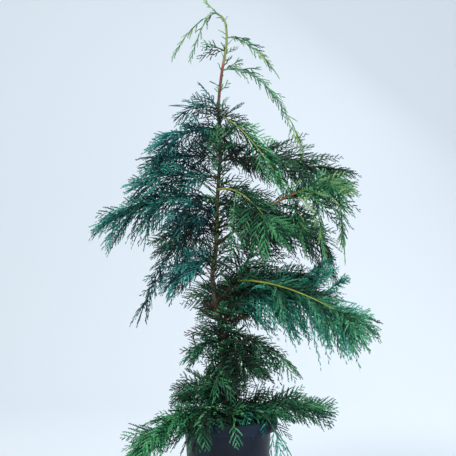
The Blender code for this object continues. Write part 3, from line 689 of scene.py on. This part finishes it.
def makeWoody(plan):
    # trunk, second limb and boughs as tubes with the bark's relief
    rows = smoothThrough(trunkStations, plan["smoothing"])
    trunkPoints = [Vector((side, depth, height)) * mm for height, side, depth, diameter in rows]
    trunkRadii = [0.5 * diameter * mm for height, side, depth, diameter in rows]
    trunk = Heap()
    trunk.add(*tubeMesh(trunkPoints, trunkRadii, plan["trunkSides"], barkRelief), 0)
    bark = trunkBark("youngTrunkBark", plan["barkFoot"] * mm, trunkPoints[-1].z)
    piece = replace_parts(trunk.build("trunk_bark", [bark]), "trunk")

    woody = Heap()
    secondLine = limbLine(secondLimb, atHeight(trunkPoints, secondLimb["height"] * mm))
    secondPoints, radii = bareStretch(secondLine, lineLength(secondLine), secondLimb, plan["limbCollar"])
    addStem(woody, secondPoints, radii, plan["limbSides"], 0, None, "dark", barkRelief)
    carriers = {"trunk": trunkPoints, "second_limb": secondPoints}

    starts = []
    for row in limbs:
        line = limbLine(row, atHeight(carriers[row["carrier"]], row["height"] * mm))
        foot = row["bare"] * lineLength(line)
        starts.append((row, line, foot))
        if foot:
            points, radii = bareStretch(line, foot, row, plan["boughCollar"])
            older = int(plan["older"] * len(points)) if row["bark"] == "amber" else 0
            addStem(woody, points, radii, plan["boughSides"], older, "dark", row["bark"], barkRelief)
    piece = woody.build("bough_bark", newBarks(""))
    names = [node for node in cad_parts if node.startswith("bough_")]
    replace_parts(piece, "second_limb", *names)
    print("woody pieces:", trunk.triangles() + woody.triangles(), "triangles")
    return starts, trunkPoints, secondLine


starts, trunkPoints, secondLine = makeWoody(woodyPlan)

# Foliage by tone: its slot, how often each of four shades comes, and their colours, dealt out by
# spray and finger. The four run from a painted deep shade to a painted highlight: lit and shaded
# copies of the tone, mixed with the leaves' own spread of colour
tones = {
    "dark": ("foliage_deep_green", (4, 5, 3, 1),
        (("0f1a14", "172a1f"), ("172e22", "244532"), ("224e37", "336b4a"), ("3a734f", "57976b"))),
    "cool": ("foliage_deep_green", (4, 5, 3, 1),
        (("0a1d21", "112f34"), ("10373a", "185152"), ("175958", "257b76"), ("2d8782", "50a89e"))),
    "mid": ("foliage_mid_green", (3, 5, 4, 2),
        (("11211a", "1c382a"), ("1b3f2f", "295b43"), ("276949", "3b8b60"), ("47955f", "6eb67c"))),
    "coolMid": ("foliage_mid_green", (3, 5, 4, 2),
        (("0b2527", "143d3e"), ("124746", "1b6660"), ("1c726a", "2f9485"), ("3aa090", "60c0aa"))),
    "blue": ("foliage_blue_green", (3, 5, 4, 2),
        (("0a2528", "133c40"), ("114649", "1a6465"), ("1b6e6d", "2e908b"), ("3ba097", "60beb0"))),
    "teal": ("foliage_teal_green", (2, 4, 5, 3),
        (("0c322f", "17504a"), ("176055", "248370"), ("2a8d78", "43ad94"), ("50b79e", "78d1b8"))),
    "bright": ("foliage_bright_green", (2, 4, 4, 2),
        (("12301f", "1c4c33"), ("1b593a", "297c51"), ("318858", "4dab74"), ("5cb378", "88d090"))),
    "lush": ("foliage_bright_green", (2, 4, 4, 2),
        (("142b1f", "204734"), ("1f553d", "2f7454"), ("33845d", "4ca578"), ("58b286", "80cfa2"))),
    "jade": ("foliage_bright_green", (2, 4, 4, 2),
        (("0b2b2a", "154744"), ("14554e", "20786e"), ("268377", "3da492"), ("48af99", "70cdb4"))),
    "fresh": ("foliage_young_green", (1, 3, 4, 3),
        (("123f34", "205c48"), ("2a6f50", "43905f"), ("56a26e", "80bc84"), ("95bb6c", "b9d084"))),
}

# Sprays along the limbs, in millimetres and degrees
foliagePlan = {
    "seed": 7,
    "spacing": 2.8,  # between sprays along a stem
    "turns": (60, 128, 84, 158, 106, 34),  # round the stem from straight up
    "turnSlack": 30,
    "first": 0.6,  # place of the first spray, in spaces between sprays
    "opening": (54, 13, 20),  # between a spray and its stem
    "roll": (0, 70, 0),  # of a spray about its own length
    "openFront": -0.1,  # an open stretch bears no spray that points further forward
    "lengthRange": (0.72, 1.22),
    "fullness": (0.80, 0.28, 0.15),  # least, gain, and how far before the middle it is greatest
    "room": 0.9,  # share of the way to the stem's tip that a spray may take
    "past": 10,  # and how far it may reach beyond
    "longest": 98,
    "shortest": 14,
    "shortRange": (0.8, 1.2),
    "tipShare": 0.3,  # the end of a stem is one more spray, of this share of the stem
    "tipLimit": 40,
    "tipBack": 6,  # how far it starts before the end of the twig
    "tipTurn": 0.3,  # radians
    "tipShade": 2,
    "twigStep": 6, "twigSides": 6,
    "twigEnd": 1.2,  # girth
    "fullPiece": 150000,  # triangles from which a new piece is begun
}

# Short sprays that the trunk and the second limb bear between the limbs. Up to a share of the stem:
# spacing, opening, lengths, and how often each shade comes; low down the dark shades are painted
# shade inside the crown, and near the top the lighter ones are young growth and painted light
stemSprayPlan = {
    "seed": 6,
    "from": 208,  # height above which the trunk bears them
    "trunk": ((0.24, 1.5, 52, (30, 76), (4, 4, 2, 1)),
              (0.74, 2.9, 52, (30, 76), (4, 4, 2, 1)),
              (1, 8, 34, (12, 36), (0, 2, 4, 3))),
    "secondLimb": ((1, 2, 52, (30, 76), (4, 4, 2, 1)),),
    "turn": (137, 30, 0),  # round the stem from one to the next
    "openingRange": (-14, 24),
    "roll": (0, 60, 0),
    "spacingRange": (0.6, 1.4),
    "end": 4,  # without sprays at the tip
    "dry": ("241b14", "57452f"),  # old inner sprays that have turned brown
    "dryTo": 0.35,  # share of the stem that bears them
    "dryShare": 0.22,
}


def placeSpray(heap, root, ahead, over, length, shade, chance, habit="fan"):
    # a grown spray set at its root, scaled to its length and bent down by its weight
    nearest = min(sprayPlan["classes"], key=lambda size: abs(size - length))
    spots, faces, ageAndLight = chance.choice(sprayShapes[habit, nearest])
    beside = over.cross(ahead).normalized()
    over = ahead.cross(beside).normalized()
    local = spots * (length / nearest) * mm
    world = local @ np.array((ahead, beside, over)) + np.array(root)
    distance = np.linalg.norm(local, axis=1)
    sag = chance.uniform(*sprayPlan["sag"][habit])
    world[:, 2] -= sag * distance ** 2 / (length * mm)
    # each finger's shade is stepped by its age: painted shade on inner fingers, painted light on outer ones
    heap.add(world, faces, np.clip(shade + ageAndLight, 0, 3))


def aheadBetween(line, start, stop):
    # direction of a line, here over 2 mm to both sides of a spray
    return (along(line, stop) - along(line, start)).normalized()


def outwardAt(ahead, turn):
    over = (up - ahead * up.dot(ahead)).normalized()
    return Matrix.Rotation(turn, 3, ahead) @ over


def opened(ahead, outward, opening):
    return (ahead * cos(opening) + outward * sin(opening)).normalized()


def pickAgeAndLightShade(weights, share, light, chance):
    # inner sprays are older and darker and carry painted shade from inside the crown; those near the
    # tip are young and bright and carry painted light
    light *= 0.4 + 1.2 * share
    scaled = [weight * light ** (k - 1) for k, weight in enumerate(weights)]
    return chance.choices(range(4), scaled)[0]


def sprayLength(row, turn, opening, share, room, chance, plan):
    # up to an outline round the stem, as wide and high as the row says and fullest before the middle
    height = row["loft"] if cos(turn) > 0 else row["hang"]
    reach = 1 / hypot(cos(turn) / height, sin(turn) / row["side"])
    least, gain, shift = plan["fullness"]
    fullness = least + gain * sin(pi * min(1.0, shift + share))
    length = reach / sin(opening) * fullness * chance.uniform(*plan["lengthRange"])
    length *= row["full"] * (1 - (1 - row["slim"]) * share)
    length = min(length, plan["room"] * room / cos(opening) + plan["past"], plan["longest"])
    if length < plan["shortest"]:
        length = plan["shortest"] * chance.uniform(*plan["shortRange"])
    return length


def dressStem(heap, twigs, line, foot, row, weights, chance, plan):
    # foot is where the bare bough ends; sprays start on it, and the twig goes on from its end
    stop = lineLength(line)
    start = foot * row["leafFrom"]
    stemStop = stop - min(plan["tipShare"] * (stop - start), plan["tipLimit"] * mm)
    count = int((stemStop - start) / mm / (plan["spacing"] * row["gap"]))
    for k in range(count):
        share = (k + plan["first"]) / count
        distance = start + (stemStop - start) * share
        ahead = aheadBetween(line, distance - 2 * mm, distance + 2 * mm)
        hand = 1 if k % 2 else -1
        turn = hand * looseAngle((plan["turns"][k % len(plan["turns"])], plan["turnSlack"], 0), chance)
        opening = row["spread"] * looseAngle(plan["opening"], chance, share)
        outward = outwardAt(ahead, turn)
        if share < row["open"] and outward.y < plan["openFront"]:
            continue
        direction = opened(ahead, outward, opening)
        length = sprayLength(row, turn, opening, share, (stop - distance) / mm, chance, plan)
        flat = ahead.cross(direction).normalized() * hand
        over = Matrix.Rotation(looseAngle(plan["roll"], chance), 3, direction) @ flat
        shade = pickAgeAndLightShade(weights, share, row["light"], chance)
        habit = "whip" if chance.random() < row["whips"] else "fan"
        placeSpray(heap, along(line, distance), direction, over, length, shade, chance, habit)
    root = along(line, stemStop - plan["tipBack"] * mm)
    last = line[-1] - root
    ahead = last.normalized()
    over = outwardAt(ahead, plan["tipTurn"])
    placeSpray(heap, root, ahead, over, last.length / mm, plan["tipShade"], chance)

    points = stretch(line, foot, stemStop, plan["twigStep"] * mm)
    girth = row["girth"] * (1 - row["taper"] if row["bare"] else 1.0)
    end = len(points) - 1
    radii = [0.5 * mm * (girth + (plan["twigEnd"] - girth) * k / end) for k in range(end + 1)]
    addStem(twigs, points, radii, plan["twigSides"], len(points) // 2, row["bark"], barks[row["bark"]][3])


def dressTrunk(trunkPoints, secondLine, plan):
    slot, shades = tones["mid"][0], tones["mid"][2]
    # four leaf materials of one colour, in steps from painted deep shade to painted highlight
    materials = [scaleLeaf(f"trunkScaleLeaf{k + 1}", *pair) for k, pair in enumerate(shades)]
    dryNumber = len(materials)
    materials.append(scaleLeaf("dryScaleLeaf", *plan["dry"]))
    heap = Heap()
    chance = random.Random(plan["seed"])
    upper = [point for point in trunkPoints if point.z > plan["from"] * mm]
    for line, rows in ((upper, plan["trunk"]), (secondLine, plan["secondLimb"])):
        length = lineLength(line)
        distance, turn = 0.0, 0.0
        while distance < length - plan["end"] * mm:
            share = distance / length
            spacing, opening, lengths, weights = next(row[1:] for row in rows if share <= row[0])
            ahead = aheadBetween(line, max(0, distance - 2 * mm), distance + 2 * mm)
            turn += looseAngle(plan["turn"], chance)
            opening = radians(opening + chance.uniform(*plan["openingRange"]))
            direction = opened(ahead, outwardAt(ahead, turn), opening)
            over = Matrix.Rotation(looseAngle(plan["roll"], chance), 3, direction) @ ahead
            shade = pickAgeAndLightShade(weights, share, 1.0, chance)
            size = chance.uniform(*lengths)
            placeSpray(heap, along(line, distance), direction, over, size, shade, chance)
            if share < plan["dryTo"] and chance.random() < plan["dryShare"]:
                heap.numbers[-1][:] = dryNumber
            distance += spacing * mm * chance.uniform(*plan["spacingRange"])
    heap.build("sprays_trunk", materials)
    return heap.triangles()


def makeFoliage(starts, trunkPoints, secondLine, plan):
    # a piece for each tone, and a further one from a full one on
    twigs = Heap()
    total = 0
    for tone, (slot, weights, shades) in tones.items():
        # four leaf materials of one colour, in steps from painted deep shade to painted highlight
        materials = [scaleLeaf(f"{tone}ScaleLeaf{k + 1}", *pair) for k, pair in enumerate(shades)]
        numbers = [number for number, (row, line, foot) in enumerate(starts) if row["tone"] == tone]
        heap, names, part = Heap(), [], 1
        for number in numbers:
            row, line, foot = starts[number]
            chance = random.Random(plan["seed"] + number)
            dressStem(heap, twigs, line, foot, row, weights, chance, plan)
            for share, shoot in row["leaders"]:
                start = along(line, foot + share * (lineLength(line) - foot))
                dressStem(heap, twigs, limbLine(shoot, start), 0, shoot, weights, chance, plan)
            names.append("foliage_" + row["name"])
            if heap.triangles() > plan["fullPiece"] or number == numbers[-1]:
                total += heap.triangles()
                piece = heap.build(f"sprays_{tone}_{part}", materials)
                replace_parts(piece, *names)
                heap, names, part = Heap(), [], part + 1
    total += dressTrunk(trunkPoints, secondLine, stemSprayPlan)
    twigs.build("twigs", newBarks("twig"))
    print("foliage:", total, "triangles in sprays,", twigs.triangles(), "in twigs")


makeFoliage(starts, trunkPoints, secondLine, foliagePlan)

# Pot, turned about its middle, in millimetres: heights, and radii of its base, body and lip
potPlan = {
    "height": 210, "lipHeight": 20, "base": 67, "body": 79, "lip": 91, "wall": 1.8,
    "foot": 2.5,  # height of the rounded edge that it stands on
    "floor": 4,  # height of its inside
    "middle": 0.01,  # radius at which the turned faces end
    "rings": (0.25, 0.5, 0.75, 0.985),  # shares of the body's height
    "segments": 144,
    "crease": 35,  # degrees
    "shade": "0b1320", "light": "14243a",
}


def turned(outline, segments):
    spots = []
    for radius, height in outline:
        for k in range(segments):
            angle = 2 * pi * k / segments
            spots.append((radius * cos(angle), radius * sin(angle), height))
    return np.array(spots) * mm, np.array(bandFaces(len(outline), segments))


def makePot(plan):
    base, body, lip, top, foot = plan["base"], plan["body"], plan["lip"], plan["height"], plan["foot"]
    wall, floor, middle = plan["wall"], plan["floor"], plan["middle"]
    lipFoot = top - plan["lipHeight"]
    outline = [(middle, 0), (base - 3, 0), (base - 1, 0.5), (base, foot)]
    for share in plan["rings"]:
        outline.append((base + (body - base) * share, foot + (lipFoot - foot) * share))
    outline += [(body + 0.6, lipFoot - 0.4), (lip - 2, lipFoot), (lip - 0.7, lipFoot + 0.3),
                (lip, lipFoot + 1.5), (lip + 0.3, lipFoot + 8), (lip + 0.5, top - 3),
                (lip + 0.1, top - 1.2), (lip - 1.2, top - 0.3), (lip - 2.5, top), (lip - 4.2, top - 0.4),
                (lip - 5.2, top - 1.8), (lip - 5.6, top - 4), (body - wall, lipFoot - 2),
                (base - wall, floor), (middle, floor)]
    heap = Heap()
    heap.add(*turned(outline, plan["segments"]), 0)
    plastic = mouldedPlastic("mouldedPolypropylene", plan["shade"], plan["light"])
    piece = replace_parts(heap.build("pot_moulding", [plastic]), "pot")
    piece.data.set_sharp_from_angle(angle=radians(plan["crease"]))


makePot(potPlan)

# Compost, in millimetres: an uneven disc with loose crumbs on it
compostPlan = {
    "top": 200, "radius": 80.5, "step": 2.2, "sides": 120,
    "rise": 1.2,  # of the disc above the plug's top
    "edgeFall": 2.5,
    "lumps": (2.4, 9, 3.5),  # height, and widths of the broad and the fine ones
    "seed": 5,
    "crumbs": 700,
    "crumbRange": (0.8, 2.6),
    "crumbsTo": 0.97,  # share of the radius
    "shade": "17120f", "light": "3d2f26",
}
crumbCorners = ((1, 0, 0), (-1, 0, 0), (0, 1, 0), (0, -1, 0), (0, 0, 1), (0, 0, -1))
crumbFaces = ((0, 2, 4), (2, 1, 4), (1, 3, 4), (3, 0, 4), (2, 0, 5), (1, 2, 5), (3, 1, 5), (0, 3, 5))


def crumbSpots(chance, plan):
    # a squashed eight-sided lump, turned at random
    radius = plan["radius"] * plan["crumbsTo"] * sqrt(chance.random())
    angle = chance.uniform(0, 2 * pi)
    size = chance.uniform(*plan["crumbRange"]) * mm
    top = plan["top"] + plan["rise"]
    middle = Vector((radius * cos(angle), radius * sin(angle), top)) * mm
    turn = Matrix.Rotation(chance.uniform(0, 3), 3, Vector((chance.random(), chance.random(), 1)))
    corners = []
    for x, y, z in crumbCorners:
        corner = turn @ Vector((x, y * chance.uniform(0.5, 1), z * chance.uniform(0.4, 0.9)))
        corners.append(middle + corner * size)
    return np.array(corners)


def makeCompost(plan):
    sides, top = plan["sides"], plan["top"]
    rings = int(plan["radius"] / plan["step"])
    height, broad, fine = plan["lumps"]
    spots = [(0, 0, top + 2)]
    for ring in range(1, rings + 1):
        radius = plan["radius"] * ring / rings
        for k in range(sides):
            angle = 2 * pi * k / sides
            x, y = radius * cos(angle), radius * sin(angle)
            lump = noise.noise(Vector((x, y, 0)) / broad) + 0.5 * noise.noise(Vector((x, y, 7)) / fine)
            edge = -plan["edgeFall"] * (radius / plan["radius"]) ** 6
            spots.append((x, y, top + plan["rise"] + 0.5 * height * lump + edge))
    faces = [(0, 1 + k, 1 + (k + 1) % sides) for k in range(sides)]
    faces += [face[::-1] for face in bandFaces(rings, sides, 1)]
    heap = Heap()
    heap.add(np.array(spots) * mm, np.array(faces), 0)
    chance = random.Random(plan["seed"])
    for k in range(plan["crumbs"]):
        heap.add(crumbSpots(chance, plan), np.array(crumbFaces), 0)
    material = moistCompost("moistCompost", plan["shade"], plan["light"])
    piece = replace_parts(heap.build("compost_crumbs", [material], smooth=False), "compost")


makeCompost(compostPlan)
print("pot and compost made")

# Studio, in metres: a pale floor that sweeps up into a wall, and soft light. Each lamp has its place,
# what it points at, its size, power and colour
studioPlan = {
    "colour": "e9eef2", "back": 2.4, "sweep": 0.9, "steps": 12, "top": 4.0, "half": 5.0, "front": -4.5,
    "sky": "dfe9f2", "skyStrength": 0.75,
    "lamps": {
        "key": ((-1.3, -1.9, 2.2), (0, 0, 0.5), 1.3, 42, "fffaf2"),
        "fill": ((1.9, -1.4, 1.3), (0, 0, 0.5), 1.8, 16, "eaf2ff"),
        "rim": ((1.2, 1.5, 2.0), (0, 0, 0.6), 1.2, 20, "f4f8ff"),
    },
}


def mattPaper(name, colour):
    # uncoated paper: no highlight, so that its sweep shows no edge
    return surfaced(newMaterial(name), {"Base Color": linearColour(colour), "Roughness": 0.9})


def makeSweep(plan):
    back, sweep, half = plan["back"], plan["sweep"], plan["half"]
    rows = [(plan["front"], 0.0), (back - sweep, 0.0)]
    for k in range(1, plan["steps"] + 1):
        angle = pi / 2 * k / plan["steps"]
        rows.append((back - sweep * (1 - sin(angle)), sweep * (1 - cos(angle))))
    rows.append((back, plan["top"]))
    spots = [(side, y, z) for y, z in rows for side in (-half, half)]
    faces = [(2 * k, 2 * k + 1, 2 * k + 3, 2 * k + 2) for k in range(len(rows) - 1)]
    mesh = bpy.data.meshes.new("studioSweep")
    mesh.from_pydata(spots, [], faces)
    mesh.shade_smooth()
    mesh.materials.append(mattPaper("mattPaper", plan["colour"]))
    newObject("studioSweep", mesh)


def makeSky(plan):
    world = bpy.data.worlds.new("studioSky")
    world.use_nodes = True
    background = world.node_tree.nodes["Background"]
    background.inputs["Color"].default_value = linearColour(plan["sky"])
    background.inputs["Strength"].default_value = plan["skyStrength"]
    bpy.context.scene.world = world


def makeLamp(name, place, aim, size, power, colour):
    data = bpy.data.lights.new(name, "AREA")
    data.shape = "DISK"
    data.size = size
    data.energy = power
    data.color = linearColour(colour)[:3]
    lamp = newObject(name, data)
    lamp.location = place
    lamp.rotation_euler = (Vector(aim) - Vector(place)).to_track_quat("-Z", "Y").to_euler()


makeSweep(studioPlan)
makeSky(studioPlan)
for lampName, lampRow in studioPlan["lamps"].items():
    makeLamp(lampName, *lampRow)
bpy.context.scene.view_settings.view_transform = "Standard"
print("studio lit")
